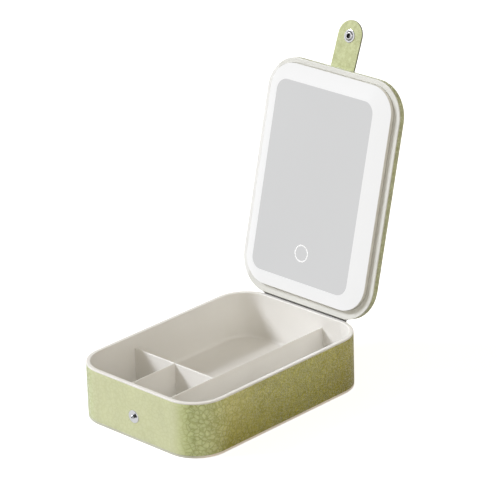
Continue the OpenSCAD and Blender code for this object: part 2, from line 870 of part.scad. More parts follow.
module battery_tape() {
    color([0.9, 0.9, 0.9])
        slab_at(0, battery_y, battery_w - 6, battery_l - 6, 1, battery_z + battery_t, floor_of_housing);
}

module slab_at(x, y, w, l, r, z0, z1) {
    translate([x, y, 0])
        slab(w, l, r, z0, z1);
}

// Straight lead between two points of the same height
module lead(p, q, z) {
    d = q - p;
    translate([p[0], p[1], z])
        rotate([0, 90, atan2(d[1], d[0])])
            cylinder(r = lead_r, h = norm(d));
}

module battery_leads() {
    y0 = battery_y + battery_l / 2;
    y1 = board_y - board_l / 2;
    color([0.7, 0.1, 0.1])
        for (x = [-lead_space / 2, lead_space / 2])
            lead([lead_x + x, y0], [lead_x + x, y1], board_z + board_t / 2);
}

// Leads lie on the face of the strips that they are soldered to
module strip_leads() {
    z = strip_z - lead_r;
    edge = strip_x - strip_w / 2;
    color([0.9, 0.9, 0.9]) {
        for (x = [-1, 1])
            lead([x * (short_strip / 2 - 1), end_strip_y[0] + 1], [x * (edge + 2), strip_y0 + 1], z);
        lead([board_x0 + board_w, board_y - 5], [edge + 1, board_y - 5], z);
        lead([board_x0 + 30, board_y + board_l / 2], [board_x0 + 30, end_strip_y[1] - strip_w / 2 + 1.2], z);
        lead([-edge - 2, strip_y1 - 1.2], [-edge - 2, board_y - board_l / 2], z);
    }
}

module panel_screws() {
    color(metal)
        for (x = [-1, 1], y = panel_screw_y)
            translate([x * panel_screw_x, y])
                screw(floor_of_housing, shell_top - 0.4);
}

// Strap outline in plan: straight sides and a round tip
module strap_outline() {
    translate([-strap_w / 2, -strap_tip + strap_tip_r])
        square([strap_w, strap_tip - strap_tip_r - strap_root]);
    intersection() {
        translate([0, -strap_tip + strap_tip_r])
            circle(strap_tip_r);
        translate([-strap_w, -strap_tip])
            square([2 * strap_w, strap_tip_r + 1]);
    }
}

module strap_layer(z0, z1) {
    translate([0, 0, z0])
        linear_extrude(z1 - z0)
            difference() {
                strap_outline();
                translate([0, snap_y])
                    circle(socket_r + eyelet_t + 0.05);
            }
}

module strap_outer() {
    color(green)
        strap_layer(lid_top - strap_t, lid_top);
}

module strap_lining() {
    color([0.82, 0.84, 0.70])
        strap_layer(lining_z, lid_top - strap_t);
}

module snap_socket() {
    color(metal)
        translate([0, snap_y, 0])
            difference() {
                union() {
                    rod(snap_d / 2, lining_z - socket_flange, lining_z);
                    rod(socket_r + collar_t, lining_z - socket_h, lining_z);
                }
                rod(socket_r + eyelet_t + 0.05, lining_z - socket_h / 2, lining_z + eps);
                rod(socket_r, lining_z - socket_h - eps, lining_z + eps);
            }
}

module snap_cap() {
    color(metal)
        translate([0, snap_y, 0]) {
            rod(snap_d / 2, lid_top, lid_top + 0.3);
            rod(snap_d / 2 - cap_h + 0.3, lid_top, lid_top + cap_h);
            translate([0, 0, lid_top + 0.3])
                rotate_extrude()
                    translate([snap_d / 2 - cap_h + 0.3, 0])
                        intersection() {
                            circle(cap_h - 0.3);
                            square(cap_h);
                        }
            difference() {
                rod(socket_r + eyelet_t, lining_z - socket_h / 2, lid_top + cap_h / 4);
                rod(socket_r, lining_z - socket_h, lid_top);
            }
        }
}

bottom_pad();
bottom_plate();
bottom_screws();
base_frame();
base_leather();
inner_tray();
snap_stud();
stud_rivet();
hinge_base_leaf();
hinge_pin();
hinge_screws();
open_lid() lid_shell();
open_lid() lid_padding();
open_lid() lid_leather();
open_lid() lid_bezel();
open_lid() light_housing();
open_lid() diffuser();
open_lid() mirror_glass();
open_lid() mirror_tape();
open_lid() touch_ring();
open_lid() touch_electrode();
open_lid() touch_contact();
open_lid() light_strips();
open_lid() light_chips();
open_lid() control_board();
open_lid() board_chips();
open_lid() charge_socket();
open_lid() battery();
open_lid() battery_tape();
open_lid() battery_leads();
open_lid() strip_leads();
open_lid() panel_screws();
open_lid() hinge_lid_leaf();
open_lid() hinge_rivets();
open_lid() lean_strap() strap_outer();
open_lid() lean_strap() strap_lining();
open_lid() lean_strap() snap_socket();
open_lid() lean_strap() snap_cap();
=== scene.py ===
"""Portable vanity box with a lighted mirror: materials, detailed pieces, light and camera on the frame.

Drawing functions work in millimetres, as the part's source does, and meshes are written in metres.
Pieces of the lid are drawn closed and swung to the open pose, as in the source.
"""
import bpy, bmesh, math
from mathutils import Matrix, Vector


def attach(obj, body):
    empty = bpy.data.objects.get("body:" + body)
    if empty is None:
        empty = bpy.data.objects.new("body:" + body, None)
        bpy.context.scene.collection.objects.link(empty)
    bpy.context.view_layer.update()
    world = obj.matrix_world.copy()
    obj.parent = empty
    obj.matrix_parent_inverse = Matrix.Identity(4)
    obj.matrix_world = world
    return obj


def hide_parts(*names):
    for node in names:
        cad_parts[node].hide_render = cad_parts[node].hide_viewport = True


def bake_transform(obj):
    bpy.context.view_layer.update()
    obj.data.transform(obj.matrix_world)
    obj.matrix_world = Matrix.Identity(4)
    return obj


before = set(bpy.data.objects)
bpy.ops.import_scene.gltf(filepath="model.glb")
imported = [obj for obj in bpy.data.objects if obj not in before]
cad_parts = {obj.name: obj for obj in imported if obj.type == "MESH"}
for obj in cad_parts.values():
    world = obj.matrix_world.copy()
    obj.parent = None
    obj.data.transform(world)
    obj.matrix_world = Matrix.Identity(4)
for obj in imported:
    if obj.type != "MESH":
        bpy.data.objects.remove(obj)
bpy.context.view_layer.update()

# ---------------------------------------------------------------- sizes, as in the part's source
BOX_W, BOX_L, BOX_H, BOX_R = 155.0, 220.0, 52.5, 32.0
LEATHER, FRAME_T, FIT, TRAY_T = 0.9, 1.4, 0.2, 1.5
RIM_H, RIM_ROUND = 1.6, 0.8
FRAME_Z = 2.4
RIM_Z = BOX_H - RIM_H
WALL = LEATHER + FRAME_T + FIT + TRAY_T          # from the outline to the inside of the tray
TRAY_Z, FLOOR_Z = 6.0, 7.6
DIVIDER_X, DIVIDER_Y, DIVIDER_SHORT_X = 24.2, -35.0, -23.3
DIVIDER_HALF, DIVIDER_FOOT = 0.8, 1.6            # half a divider's thickness, and the round at its foot
LID_W, LID_R, LID_Z, LID_T, LID_EDGE = 159.0, 33.0, 53.0, 7.7, 2.2
LID_TOP = LID_Z + LID_T
OPEN = 104.0
HINGE_Y, HINGE_Z = 109.2, 55.4
PANEL_W, PANEL_Y0, PANEL_Y1, PANEL_R = 144.0, -105.2, 101.4, 25.5
PANEL_L, PANEL_Y = PANEL_Y1 - PANEL_Y0, (PANEL_Y0 + PANEL_Y1) / 2
BAND_Z, BAND_RISE, BAND_W, BAND_BULGE = 48.7, 7.8, 14.3, 0.5
LIP_T, BEZEL_T, BEZEL_ROUND, SHELL_IN = 0.9, 1.5, 0.35, 1.0
LEATHER_Z = LID_Z + LIP_T                        # lower edge of the lid's leather
CHANNEL_HALF, CHANNEL_Y, CHANNEL_TOP, BEZEL_SKIN = 51.0, 107.4, 57.6, 0.6
MIRROR_Z = BAND_Z - BAND_RISE
GLASS_T, TAPE_T = 1.8, 0.3
DIVIDER_Z = MIRROR_Z - 0.8                       # the mirror clears the dividers with the lid closed
STRAP_W, STRAP_TIP, STRAP_T, STRAP_LEAN = 28.0, -155.0, 1.8, 7.0
BEND_Y, BEND_Z = -108.4, 54.5
SNAP_OUT = 32.1                                  # from the bend to the snap
SNAP_Y, STUD_Z = BEND_Y - SNAP_OUT, BEND_Z - SNAP_OUT

# ---------------------------------------------------------------- how finely the pieces are drawn
CORNER_STEPS, TURNED_STEPS = 20, 48
SMOOTH, TURNED_SMOOTH = 32, 40                   # edges sharper than this many degrees stay sharp
FREE = 99                                        # a height above every piece, where nothing limits it

swing = (Matrix.Translation((0, HINGE_Y, HINGE_Z)) @ Matrix.Rotation(math.radians(-OPEN), 4, "X")
         @ Matrix.Translation((0, -HINGE_Y, -HINGE_Z)))


def lean(degrees):
    """Leans the strap back about its bend."""
    return (Matrix.Translation((0, BEND_Y, BEND_Z)) @ Matrix.Rotation(math.radians(-degrees), 4, "X")
            @ Matrix.Translation((0, -BEND_Y, -BEND_Z)))


# ---------------------------------------------------------------- mesh helpers
def mesh_piece(name, verts, faces, body, lid=False, smooth_angle=SMOOTH):
    """A piece from millimetre points; lid pieces are drawn closed and swung open."""
    pts = [Vector(v) for v in verts]
    if lid:
        pts = [swing @ p for p in pts]
    me = bpy.data.meshes.new(name)
    me.from_pydata([p * 0.001 for p in pts], [], faces)
    me.validate()
    me.update()
    me.shade_smooth()
    me.set_sharp_from_angle(angle=math.radians(smooth_angle))
    ob = bpy.data.objects.new(name, me)
    bpy.context.scene.collection.objects.link(ob)
    if body:
        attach(ob, body)
    return ob


def arc(cx, cz, r, a0, a1, n):
    """Points of an arc in the profile plane, angles in degrees."""
    return [(cx + r * math.cos(math.radians(a0 + (a1 - a0) * i / n)),
             cz + r * math.sin(math.radians(a0 + (a1 - a0) * i / n))) for i in range(n + 1)]


def stations(w, l, r, n=CORNER_STEPS):
    """Corner stations of a rounded rectangle, anticlockwise: centre of the corner and direction."""
    out = []
    for k, (sx, sy) in enumerate(((1, 1), (-1, 1), (-1, -1), (1, -1))):
        cx, cy = sx * (w / 2 - r), sy * (l / 2 - r)
        for i in range(n + 1):
            a = math.radians(90 * k + 90 * i / n)
            out.append((cx, cy, math.cos(a), math.sin(a)))
    return out


def loop_at(st, r, d, z, y0=0.0):
    """The loop of a rounded rectangle moved outwards by d, at height z."""
    return [(cx + (r + d) * ux, cy + (r + d) * uy + y0, z) for cx, cy, ux, uy in st]


def bridge(a, b, n):
    """Quads between two closed loops of n points that start at a and b."""
    return [(a + i, a + (i + 1) % n, b + (i + 1) % n, b + i) for i in range(n)]


def ring(name, w, l, r, profile, body, lid=False, y0=0.0, capped=False):
    """A profile of (outward distance, height) run round a rounded rectangle.

    The profile closes on itself, or, when capped, its first and last loops are filled."""
    st = stations(w, l, r)
    m = len(st)
    verts, faces = [], []
    for d, z in profile:
        verts += loop_at(st, r, d, z, y0)
    for k in range(len(profile) - 1):
        faces += bridge(k * m, (k + 1) * m, m)
    last = (len(profile) - 1) * m
    if capped:
        faces.append(tuple(range(m)))
        faces.append(tuple(reversed(range(last, last + m))))
    else:
        faces += bridge(last, 0, m)
    return mesh_piece(name, verts, faces, body, lid)


def loft(name, loops, body, lid=False):
    """Loops with the same number of points, bridged in turn; the last joins the first."""
    m = len(loops[0])
    verts = [v for lp in loops for v in lp]
    faces = []
    for k in range(len(loops) - 1):
        faces += bridge(k * m, (k + 1) * m, m)
    faces += bridge((len(loops) - 1) * m, 0, m)
    return mesh_piece(name, verts, faces, body, lid)


def lathe(name, profile, place, body, lid=False, dark=()):
    """A turned piece: profile of (radius, height) along +Z, placed by a matrix in millimetres.

    The stretches of the profile in dark, and the end cap with -1, get the piece's second material: painted
    shade."""
    n = TURNED_STEPS
    verts, faces = [], []
    for r, z in profile:
        for i in range(n):
            a = 2 * math.pi * i / n
            verts.append(place @ Vector((r * math.cos(a), r * math.sin(a), z)))
    for k in range(len(profile) - 1):
        faces += bridge(k * n, (k + 1) * n, n)
    faces.append(tuple(reversed(range(n))))
    faces.append(tuple(range((len(profile) - 1) * n, len(profile) * n)))
    ob = mesh_piece(name, verts, faces, body, lid, TURNED_SMOOTH)
    for k in dark:
        for f in range(k * n, (k + 1) * n) if k >= 0 else (len(faces) - 1,):
            ob.data.polygons[f].material_index = 1
    return ob


def bar(name, section, p, q, body):
    """A straight prism with a section of (across, height), from p to q on the floor plan."""
    dx, dy = q[0] - p[0], q[1] - p[1]
    s = math.hypot(dx, dy)
    ax, ay = -dy / s, dx / s
    verts = [(p[0] + ax * u, p[1] + ay * u, z) for u, z in section]
    verts += [(q[0] + ax * u, q[1] + ay * u, z) for u, z in section]
    n = len(section)
    faces = bridge(0, n, n) + [tuple(reversed(range(n))), tuple(range(n, 2 * n))]
    return mesh_piece(name, verts, faces, body)


def clean_up(ob):
    """Joins points that coincide, drops flat slivers and turns all faces outwards."""
    near = 1e-6
    bm = bmesh.new()
    bm.from_mesh(ob.data)
    bmesh.ops.remove_doubles(bm, verts=bm.verts, dist=near)
    bmesh.ops.dissolve_degenerate(bm, edges=bm.edges, dist=near)
    bmesh.ops.recalc_face_normals(bm, faces=bm.faces)
    bm.to_mesh(ob.data)
    bm.free()
    ob.data.set_sharp_from_angle(angle=math.radians(SMOOTH))


# ---------------------------------------------------------------- materials
def new_mat(name):
    m = bpy.data.materials.new(name)
    m.use_nodes = True
    nt = m.node_tree
    return m, nt, nt.nodes["Principled BSDF"]


def grey(v):
    return (v, v, v)


def ramp(nt, fac, stops):
    """Colour ramp from a list of (place, colour)."""
    node = nt.nodes.new("ShaderNodeValToRGB")
    el = node.color_ramp.elements
    el[0].position, el[0].color = stops[0][0], (*stops[0][1], 1)
    el[1].position, el[1].color = stops[-1][0], (*stops[-1][1], 1)
    for p, c in stops[1:-1]:
        e = el.new(p)
        e.color = (*c, 1)
    nt.links.new(fac, node.inputs["Fac"])
    return node.outputs["Color"]


def varied(nt, fac, color, vary, low=0.3, high=0.7):
    """A colour that runs from slightly darker to slightly lighter with fac."""
    darker, lighter = [c * (1 - vary) for c in color], [min(1, c * (1 + vary)) for c in color]
    return ramp(nt, fac, [(low, darker), (high, lighter)])


def coords(nt, scale=(1, 1, 1)):
    """Object coordinates, in metres of the shared frame."""
    tc = nt.nodes.new("ShaderNodeTexCoord")
    mp = nt.nodes.new("ShaderNodeMapping")
    mp.inputs["Scale"].default_value = scale
    nt.links.new(tc.outputs["Object"], mp.inputs["Vector"])
    return mp.outputs["Vector"]


def noise(nt, vec, scale, detail=3.0, rough=0.5):
    node = nt.nodes.new("ShaderNodeTexNoise")
    for name, value in (("Scale", scale), ("Detail", detail), ("Roughness", rough)):
        node.inputs[name].default_value = value
    nt.links.new(vec, node.inputs["Vector"])
    return node


def noise_fac(nt, vec, scale, detail=3.0, rough=0.5):
    return noise(nt, vec, scale, detail, rough).outputs["Fac"]


def bump(nt, height, distance, strength):
    node = nt.nodes.new("ShaderNodeBump")
    node.inputs["Distance"].default_value = distance
    node.inputs["Strength"].default_value = strength
    nt.links.new(height, node.inputs["Height"])
    return node.outputs["Normal"]


def math_node(nt, op, a, b):
    """Result of a maths operation on two numbers or sockets."""
    node = nt.nodes.new("ShaderNodeMath")
    node.operation = op
    for i, v in enumerate((a, b)):
        if isinstance(v, (int, float)):
            node.inputs[i].default_value = v
        else:
            nt.links.new(v, node.inputs[i])
    return node.outputs[0]


def blend_colors(nt, kind, fac, a, b):
    """Mix of two colours; fac is a number or a socket."""
    node = nt.nodes.new("ShaderNodeMix")
    node.data_type = "RGBA"
    node.blend_type = kind
    if isinstance(fac, (int, float)):
        node.inputs[0].default_value = fac
    else:
        nt.links.new(fac, node.inputs[0])
    for i, v in ((6, a), (7, b)):
        if isinstance(v, tuple):
            node.inputs[i].default_value = (*v, 1)
        else:
            nt.links.new(v, node.inputs[i])
    return node.outputs[2]


def pillows(nt, vec, scale, full):
    """Height of uneven cells: 0 in the creases between them, 1 from the distance full on."""
    node = nt.nodes.new("ShaderNodeTexVoronoi")
    node.feature = "DISTANCE_TO_EDGE"
    node.inputs["Scale"].default_value = scale
    nt.links.new(vec, node.inputs["Vector"])
    return ramp(nt, node.outputs["Distance"], [(0.0, grey(0)), (full * 0.4, grey(0.72)), (full, grey(1))])


def warped(nt, vec, scale, amount):
    """Coordinates shifted by noise, so that cells and creases run unevenly."""
    warp = noise(nt, vec, scale, 3.0)
    shift = nt.nodes.new("ShaderNodeVectorMath")
    shift.operation = "MULTIPLY_ADD"
    nt.links.new(warp.outputs["Color"], shift.inputs[0])
    shift.inputs[1].default_value = (amount,) * 3
    nt.links.new(vec, shift.inputs[2])
    return shift.outputs[0]


def map_range(nt, value, a0, a1, b0=0.0, b1=1.0, kind="SMOOTHSTEP"):
    """Carries value from the range a0 to a1 over to b0 to b1, and holds it at both ends."""
    node = nt.nodes.new("ShaderNodeMapRange")
    node.interpolation_type = kind
    nt.links.new(value, node.inputs["Value"])
    for i, v in ((1, a0), (2, a1), (3, b0), (4, b1)):
        node.inputs[i].default_value = v
    return node.outputs[0]


def times(nt, *values):
    """Product of sockets."""
    out = values[0]
    for v in values[1:]:
        out = math_node(nt, "MULTIPLY", out, v)
    return out


def place_on_box(nt, vec, where):
    """For the box's wall: how strong the emboss is, the painted light and shade, and where the coarse pebbles
    lie.

    The emboss is faint over the front and full elsewhere. Painted shade takes the right side from a light to
    a deep olive towards the bottom and darkens it towards the hinge; painted light makes its front corner
    lighter and greener, and the left corner paler, as in the photograph. The lid, above, keeps the plain
    colour."""
    split = nt.nodes.new("ShaderNodeSeparateXYZ")
    nt.links.new(vec, split.inputs[0])
    x, y, z = (split.outputs[axis] for axis in "XYZ")
    power = map_range(nt, y, -0.1103, -0.1035, 0.16, 1.0)
    on_wall = map_range(nt, z, 0.053, 0.055, 1.0, 0.0)
    right = times(nt, map_range(nt, x, -0.070, -0.050), map_range(nt, y, 0.096, 0.107, 1.0, 0.0), on_wall)
    side = times(nt, map_range(nt, y, -0.100, -0.066), right)
    # Painted shade: the right side darkens and turns olive towards the bottom.
    side_shade = ramp(nt, map_range(nt, z, 0.002, 0.048),
                [(0.0, (0.73, 0.675, 0.215)), (1.0, (1.055, 1.015, 0.61))])
    painted_light = blend_colors(nt, "MIX", side, (1.0, 1.0, 1.0), side_shade)
    # Painted light and shade along the right side: its front corner lighter and greener, darker towards the
    # hinge.
    start, end = -112, 88                        # the range of y in the list, mm
    painted_tints = ((-110, (1.0, 1.0, 1.0)), (-108.5, (0.96, 1.0, 0.87)), (-106.5, (0.93, 0.98, 0.79)),
             (-104, (0.97, 1.04, 0.87)), (-100, (1.10, 1.16, 1.02)), (-94, (1.10, 1.15, 1.03)),
             (-90, (1.05, 1.07, 0.97)), (-80, (1.04, 1.04, 1.03)), (-70, (1.05, 1.02, 1.13)),
             (-60, (1.02, 0.98, 1.08)), (-40, (1.0, 0.97, 1.0)), (30, (1.01, 0.98, 0.90)),
             (88, (0.93, 0.85, 0.66)))
    along = ramp(nt, map_range(nt, y, start / 1000, end / 1000, kind="LINEAR"),
                 [((at - start) / (end - start), tint) for at, tint in painted_tints])
    painted_light = blend_colors(nt, "MULTIPLY", right, painted_light, along)
    # Painted highlight: the left front corner is paler and bluer.
    left = times(nt, map_range(nt, x, -0.068, -0.055, 1.0, 0.0), map_range(nt, y, -0.096, -0.070, 1.0, 0.0),
                 on_wall)
    painted_light = blend_colors(nt, "MULTIPLY", left, painted_light, (1.12, 1.14, 1.30))
    coarse = times(nt, map_range(nt, y, -0.102, -0.020, 0.75, -0.15), on_wall)
    where = map_range(nt, math_node(nt, "ADD", math_node(nt, "MULTIPLY", where, 0.5), coarse), 0.0, 1.0)
    return power, painted_light, where


def leather(name, base, deep, depth, cells=(215.0, 440.0), sheen=1.0, on_box=True):
    """Reptile-embossed leather: uneven pebbles of two sizes with creased edges, and a fine grain.

    deep is the painted shade in the creases, depth their depth in metres and cells the pebbles per metre."""
    m, nt, p = new_mat(name)
    plain = coords(nt)
    vec = warped(nt, warped(nt, coords(nt, (1.0, 1.0, 1.12)), 85.0, 0.0075), 420.0, 0.0022)
    big, small = pillows(nt, vec, cells[0], 0.42), pillows(nt, vec, cells[1], 0.5)
    where = ramp(nt, noise_fac(nt, plain, 34.0), [(0.40, grey(0)), (0.60, grey(1))])
    mottle = noise_fac(nt, plain, 210.0, 5.0, 0.68)
    power, painted_light = 1.0, (1.0, 1.0, 1.0)
    if on_box:
        power, painted_light, where = place_on_box(nt, plain, where)
    pebbles = blend_colors(nt, "MIX", where, small, big)
    both = blend_colors(nt, "MULTIPLY", 0.25, pebbles, small)
    height = math_node(nt, "ADD", both, math_node(nt, "MULTIPLY", mottle, 0.5))
    grain = noise_fac(nt, plain, 2600.0, 2.0)
    raised = math_node(nt, "MULTIPLY", height, power)
    raised = math_node(nt, "ADD", raised, math_node(nt, "MULTIPLY", grain, 0.05))
    nt.links.new(bump(nt, raised, depth, 1.0), p.inputs["Normal"])
    tone = noise_fac(nt, coords(nt, (1.0, 1.0, 0.35)), 60.0, 4.0, 0.6)
    shade = blend_colors(nt, "MULTIPLY", 1.0, varied(nt, tone, base, 0.05, 0.28, 0.72), painted_light)
    # Painted shade: darker in the creases, and the pebble tops a little lighter.
    crease = ramp(nt, both, [(0.0, deep), (0.62, (1, 1, 1)), (1.0, (1.04, 1.04, 1.03))])
    spots = ramp(nt, mottle, [(0.30, (0.84, 0.83, 0.77)), (0.70, (1.12, 1.12, 1.15))])
    marks = blend_colors(nt, "MULTIPLY", 1.0, crease, spots)
    nt.links.new(blend_colors(nt, "MULTIPLY", power, shade, marks), p.inputs["Base Color"])
    nt.links.new(ramp(nt, both, [(0.0, grey(0.7)), (1.0, grey(0.5))]), p.inputs["Roughness"])
    p.inputs["Specular IOR Level"].default_value = 0.08
    nt.links.new(ramp(nt, both, [(0.05, grey(0.25 * sheen)), (0.60, grey(sheen))]), p.inputs["Sheen Weight"])
    p.inputs["Sheen Roughness"].default_value = 0.42
    p.inputs["Sheen Tint"].default_value = (0.88, 0.95, 1.0, 1)
    return m


def plastic(name, color, rough=0.38, grain=0.00002):
    """Moulded plastic: slight tone variation, a fine moulded grain and uneven gloss."""
    m, nt, p = new_mat(name)
    vec = coords(nt)
    nt.links.new(varied(nt, noise_fac(nt, vec, 14.0), color, 0.03), p.inputs["Base Color"])
    nt.links.new(bump(nt, noise_fac(nt, vec, 1900.0, 2.0), grain, 0.6), p.inputs["Normal"])
    gloss = ramp(nt, noise_fac(nt, vec, 60.0), [(0.3, grey(rough - 0.04)), (0.7, grey(rough + 0.05))])
    nt.links.new(gloss, p.inputs["Roughness"])
    return m


def metal(name, color, rough, brushed=False):
    """Metal with slight stains and uneven polish; brushed metal is drawn out along X."""
    m, nt, p = new_mat(name)
    vec = coords(nt, (1, 40, 40) if brushed else (1, 1, 1))
    nt.links.new(varied(nt, noise_fac(nt, vec, 40.0), color, 0.05), p.inputs["Base Color"])
    p.inputs["Metallic"].default_value = 1.0
    gloss = ramp(nt, noise_fac(nt, vec, 300.0, 4.0),
                 [(0.3, grey(max(0.02, rough - 0.05))), (0.7, grey(rough + 0.06))])
    nt.links.new(gloss, p.inputs["Roughness"])
    nt.links.new(bump(nt, noise_fac(nt, vec, 800.0, 2.0), 0.000008, 0.5), p.inputs["Normal"])
    return m


def glow(p, strength):
    p.inputs["Emission Color"].default_value = (1, 1, 1, 1)
    p.inputs["Emission Strength"].default_value = strength


green_leather = leather("green_leather", (0.60, 0.618, 0.385), (0.70, 0.71, 0.57), 0.00055)
lining = leather("strap_lining", (0.53, 0.565, 0.33), (0.90, 0.90, 0.86), 0.00006,
                 cells=(320.0, 700.0), sheen=0.3, on_box=False)
# Painted shade: the strap's cut edge is nearly black all round.
strap_edge_shade = plastic("strap_edge", (0.10, 0.10, 0.045), rough=0.5)
tray_white = plastic("tray_plastic", (0.75, 0.735, 0.70), rough=0.42)
rim_white = plastic("bottom_plastic", (0.80, 0.77, 0.73), rough=0.4)
bezel_white = plastic("bezel_plastic", (0.66, 0.66, 0.62), rough=0.45)


def tint_along(mat, axis, a0, a1, first, last):
    """Multiplies a material's colour by a tint that runs from first to last between two places on an axis."""
    nt = mat.node_tree
    p = nt.nodes["Principled BSDF"]
    at = nt.nodes.new("ShaderNodeSeparateXYZ")
    nt.links.new(coords(nt), at.inputs[0])
    tint = ramp(nt, map_range(nt, at.outputs[axis], a0, a1), [(0.0, first), (1.0, last)])
    color = p.inputs["Base Color"].links[0].from_socket
    nt.links.new(blend_colors(nt, "MULTIPLY", 1.0, color, tint), p.inputs["Base Color"])


# Painted shade on the plate's front edge, which lies in its own shade, and painted light on its sides;
# painted light on the inner frame's left side, which the light band lights
tint_along(rim_white, "Y", -0.107, -0.090, (0.68, 0.71, 0.62), (1.16, 1.10, 1.04))
tint_along(bezel_white, "X", -0.0715, -0.068, (1.20, 1.20, 1.24), (1.0, 1.0, 1.0))
panel_grey = plastic("panel_plastic", (0.70, 0.69, 0.64), rough=0.4)
board_green = plastic("circuit_board", (0.03, 0.17, 0.08), rough=0.3)
board_white = plastic("light_board", (0.85, 0.85, 0.83), rough=0.35)
chip_black = plastic("chip", (0.02, 0.02, 0.02), rough=0.45)
phosphor = plastic("phosphor", (0.85, 0.66, 0.16), rough=0.35)
foam = plastic("foam", (0.72, 0.72, 0.68), rough=0.85, grain=0.0002)
rubber = plastic("pad_rubber", (0.035, 0.035, 0.032), rough=0.75, grain=0.00012)
black_tape = plastic("black_tape", (0.02, 0.02, 0.02), rough=0.7)
wire_red = plastic("lead_red", (0.45, 0.02, 0.01), rough=0.4)
wire_white = plastic("lead_white", (0.75, 0.75, 0.72), rough=0.45)
chrome = metal("chrome", (0.66, 0.66, 0.67), rough=0.2)
# Painted shade: a near-black metal for the recesses of the snaps.
snap_painted_shade = metal("snap_painted_shade", (0.05, 0.05, 0.05), rough=0.4)
steel = metal("screw_steel", (0.55, 0.55, 0.56), rough=0.28)
hinge_dark = metal("hinge_metal", (0.26, 0.255, 0.24), rough=0.4)
copper = metal("copper", (0.75, 0.38, 0.18), rough=0.3)
foil = metal("battery_foil", (0.62, 0.63, 0.65), rough=0.35, brushed=True)

mirror_mat, nt, p = new_mat("mirror")
p.inputs["Metallic"].default_value = 1.0
silver = ramp(nt, noise_fac(nt, coords(nt), 9.0, 2.0),
              [(0.3, (0.660, 0.662, 0.665)), (0.7, (0.672, 0.674, 0.677))])
nt.links.new(silver, p.inputs["Base Color"])
haze = ramp(nt, noise_fac(nt, coords(nt), 50.0, 4.0), [(0.4, grey(0.015)), (0.8, grey(0.035))])
nt.links.new(haze, p.inputs["Roughness"])

frosted, nt, p = new_mat("frosted_plastic")
milky = ramp(nt, noise_fac(nt, coords(nt), 30.0), [(0.3, grey(0.052)), (0.7, grey(0.062))])
nt.links.new(milky, p.inputs["Base Color"])
nt.links.new(bump(nt, noise_fac(nt, coords(nt), 2400.0, 2.0), 0.00001, 0.4), p.inputs["Normal"])
p.inputs["Roughness"].default_value = 0.45
p.inputs["Specular IOR Level"].default_value = 0.04
glow(p, 0.84)

ring_frost, nt, p = new_mat("ring_frost")
milky = ramp(nt, noise_fac(nt, coords(nt), 200.0), [(0.3, grey(0.58)), (0.7, grey(0.64))])
nt.links.new(milky, p.inputs["Base Color"])
p.inputs["Roughness"].default_value = 0.5
glow(p, 0.3)

node_mats = {
    "bottom_pad": rubber, "bottom_plate": rim_white, "bottom_screws": steel, "base_frame": rim_white,
    "base_leather": green_leather, "inner_tray": tray_white, "snap_stud": chrome, "stud_rivet": steel,
    "hinge_base_leaf": hinge_dark, "hinge_pin": hinge_dark, "hinge_screws": hinge_dark,
    "lid_shell": rim_white, "lid_padding": foam, "lid_leather": green_leather, "lid_bezel": bezel_white,
    "light_housing": panel_grey, "diffuser": frosted, "mirror_glass": mirror_mat, "mirror_tape": black_tape,
    "touch_ring": ring_frost, "touch_electrode": copper, "touch_contact": black_tape,
    "light_strips": board_white, "light_chips": phosphor, "control_board": board_green,
    "board_chips": chip_black, "charge_socket": chrome, "battery": foil, "battery_tape": wire_white,
    "battery_leads": wire_red, "strip_leads": wire_white, "panel_screws": steel, "hinge_lid_leaf": hinge_dark,
    "hinge_rivets": steel,
    "strap_outer": green_leather, "strap_lining": lining, "snap_socket": chrome, "snap_cap": chrome,
}
for node, mat in node_mats.items():
    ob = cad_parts[node]
    for s in ob.material_slots:
        s.material = mat
    if not ob.material_slots:
        ob.data.materials.append(mat)


def dress(ob, mat, slot, *nodes):
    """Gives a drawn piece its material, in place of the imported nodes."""
    if not ob.data.materials:
        ob.data.materials.append(mat)
    if nodes:
        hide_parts(*nodes)


# ---------------------------------------------------------------- tray with its rolled rim
FLOOR_ROUND, TRAY_LIP = 3, 0.4
tray_profile = (
    [(-WALL + TRAY_T, TRAY_Z), (-WALL + TRAY_T, RIM_Z - 0.2), (-WALL + TRAY_T + 0.05, RIM_Z),
     (-TRAY_LIP, RIM_Z)]
    + arc(-TRAY_LIP, RIM_Z + TRAY_LIP, TRAY_LIP, -90, 0, 3)[1:]
    + arc(-RIM_ROUND, BOX_H - RIM_ROUND, RIM_ROUND, 0, 90, 8)
    + arc(-WALL + RIM_ROUND, BOX_H - RIM_ROUND, RIM_ROUND, 90, 180, 8)
    + [(-WALL, BOX_H - 3), (-WALL, FLOOR_Z + 6)]
    + arc(-WALL - FLOOR_ROUND, FLOOR_Z + FLOOR_ROUND, FLOOR_ROUND, 0, -90, 8) + [(-WALL - 8, FLOOR_Z)]
)
tray = ring("tray_body", BOX_W, BOX_L, BOX_R, tray_profile, "box", capped=True)
clean_up(tray)
dress(tray, tray_white, "tray_plastic", "inner_tray")


def divider(name, p, q):
    """A thin wall with a round top and a rounded foot, sunk a little into the tray's floor."""
    foot, sunk = DIVIDER_HALF + DIVIDER_FOOT, FLOOR_Z - 0.4
    section = ([(foot, sunk), (foot, FLOOR_Z)]
               + arc(foot, FLOOR_Z + DIVIDER_FOOT, DIVIDER_FOOT, 270, 180, 5)[1:]
               + arc(0, DIVIDER_Z - DIVIDER_HALF, DIVIDER_HALF, 0, 180, 10)
               + arc(-foot, FLOOR_Z + DIVIDER_FOOT, DIVIDER_FOOT, 0, -90, 5) + [(-foot, sunk)])
    ob = bar(name, section, p, q, "box")
    clean_up(ob)
    dress(ob, tray_white, "tray_plastic")


into_wall = 0.5
end_y, end_x = BOX_L / 2 - WALL + into_wall, -(BOX_W / 2 - WALL + into_wall)
divider("divider_long", (DIVIDER_X, -end_y), (DIVIDER_X, end_y))
divider("divider_cross", (end_x, DIVIDER_Y), (DIVIDER_X, DIVIDER_Y))
divider("divider_short", (DIVIDER_SHORT_X, -end_y), (DIVIDER_SHORT_X, DIVIDER_Y))

